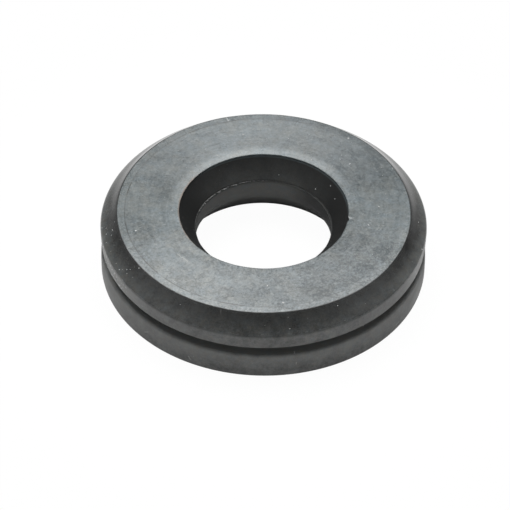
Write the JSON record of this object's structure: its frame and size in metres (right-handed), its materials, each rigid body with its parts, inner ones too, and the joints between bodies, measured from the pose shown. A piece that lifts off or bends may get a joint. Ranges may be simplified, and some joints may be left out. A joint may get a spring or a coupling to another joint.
{
  "type": "rubber bushing",
  "caption": "Round moulded rubber bushing: bevelled upper flange, narrow outer groove, plain lower flange and a bore waisted to a short throat.",
  "frame": {"origin": "centre of the base, on the bore's axis", "axes": "+Z along the bore's axis, from the lower flange towards the bevelled flange"},
  "size_m": [0.04, 0.04, 0.0087],
  "materials": {
    "rubber": "moulded black rubber, satin walls and a paler dry top face"
  },
  "bodies": {
    "root": {"bushing": "rubber"}
  },
  "joints": []
}
